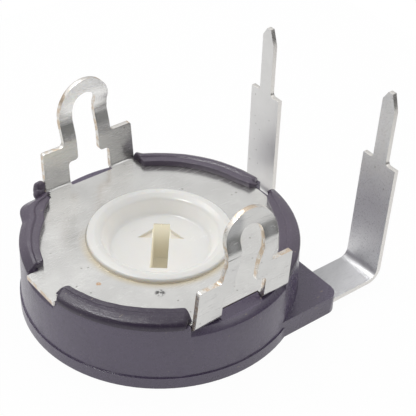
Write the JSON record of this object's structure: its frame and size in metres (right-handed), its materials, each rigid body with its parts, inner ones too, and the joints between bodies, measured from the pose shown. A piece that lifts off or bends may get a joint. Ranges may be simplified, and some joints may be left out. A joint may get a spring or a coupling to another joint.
{
  "type": "preset potentiometer",
  "caption": "Carbon preset potentiometer for a circuit board: round moulded cup, tinned sheet cover with snap-in clips, white rotor with a screwdriver slot, flat bent-up terminals.",
  "frame": {"origin": "on the rotor's axis at the flat back of the housing", "axes": "+Z along the rotor's axis, out of its slotted face; +X towards the two terminals; the clips stand at +Y and -Y"},
  "size_m": [0.0239, 0.02, 0.0154],
  "materials": {
    "housing_moulding": "dark purple-grey moulding, satin, with a coarser skin on the rolled lips",
    "cover_tin": "dull bright tin plate with fine scratches, tan metal bare on the cut edges",
    "wafer_board": "brown phenolic paper board, satin",
    "carbon_ink": "black printed carbon, matte",
    "pad_ink": "printed silver ink, matte",
    "terminal_tin": "dull tin plate with dark rubbed marks",
    "rivet_metal": "bright drawn brass",
    "rotor_moulding": "warm white moulding, glossy",
    "spring_metal": "rolled spring bronze, satin",
    "brush_carbon": "black carbon, dull"
  },
  "bodies": {
    "base": {"housing": "housing_moulding", "cover_plate": "cover_tin", "resistive_wafer": "wafer_board", "carbon_track": "carbon_ink", "front_end_pad": "pad_ink", "rear_end_pad": "pad_ink", "front_terminal": "terminal_tin", "rear_terminal": "terminal_tin", "front_rivet": "rivet_metal", "rear_rivet": "rivet_metal"},
    "rotor": {"rotor": "rotor_moulding", "wiper_spring": "spring_metal", "wiper_brush": "brush_carbon"}
  },
  "joints": [
    {"name": "rotor_turn", "type": "hinge", "parent": "base", "child": "rotor", "pos_m": [0, 0, 0], "axis": [0, 0, 1], "range_deg": [-3.9, 261.1]}
  ]
}
